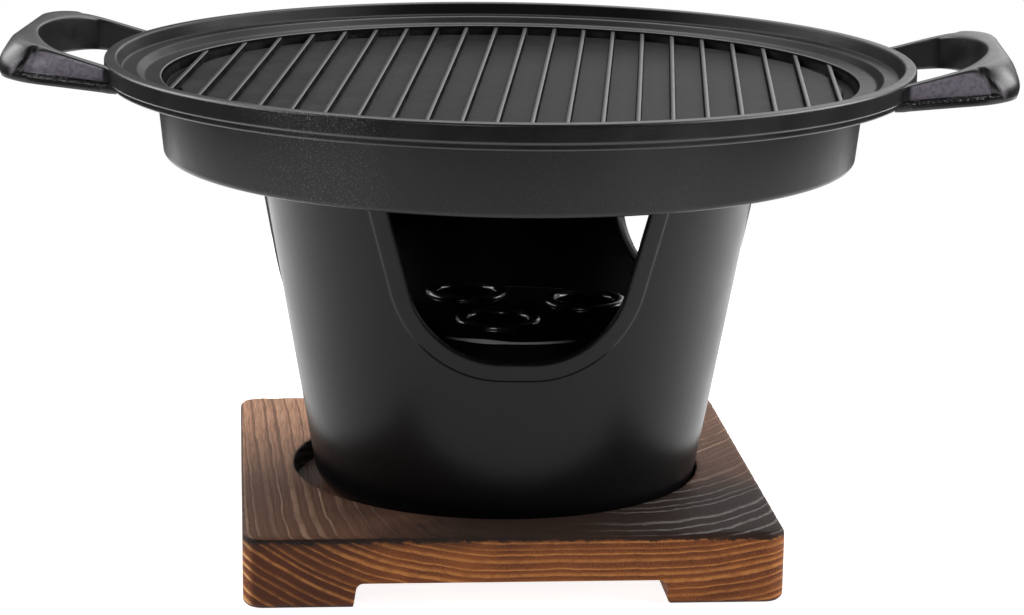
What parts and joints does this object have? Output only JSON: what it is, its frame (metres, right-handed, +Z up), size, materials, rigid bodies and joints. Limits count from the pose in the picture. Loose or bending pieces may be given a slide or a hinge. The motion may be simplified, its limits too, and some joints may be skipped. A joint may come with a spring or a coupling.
{
  "type": "tabletop charcoal grill",
  "caption": "Small tabletop charcoal grill: ribbed round grill plate with loop handles on a tapered stove body with tall vents, a loose charcoal tray and a square wooden base.",
  "frame": {"origin": "on the table, on the common axis of the stove body and the grill plate", "axes": "+Z up, X from the left handle to the right handle, Y along the ribs of the grill plate, with the camera of the picture on the -Y side"},
  "size_m": [0.3202, 0.26, 0.1656],
  "materials": {
    "coated_cast_plate": "matte black non-stick coating on cast aluminium, fine speckle",
    "coated_cast_body": "satin black coating on cast aluminium",
    "coated_cast_tray": "semi-gloss black coating on cast aluminium",
    "charred_wood": "scorched and brushed softwood, dark brown with open grain"
  },
  "bodies": {
    "base": {"wood_base": "charred_wood"},
    "body": {"stove_body": "coated_cast_body"},
    "tray": {"charcoal_tray": "coated_cast_tray"},
    "plate": {"grill_plate": "coated_cast_plate"}
  },
  "joints": [
    {"name": "body_lift", "type": "slide", "parent": "base", "child": "body", "axis": [0, 0, 1], "range_m": [0, 0.2]},
    {"name": "plate_lift", "type": "slide", "parent": "body", "child": "plate", "axis": [0, 0, 1], "range_m": [0, 0.25]},
    {"name": "tray_lift", "type": "slide", "parent": "body", "child": "tray", "axis": [0, 0, 1], "range_m": [0, 0.1125]}
  ],
  "couplings": [
    {"joint": "tray_lift", "follows": "plate_lift", "ratio": 0.45}
  ]
}
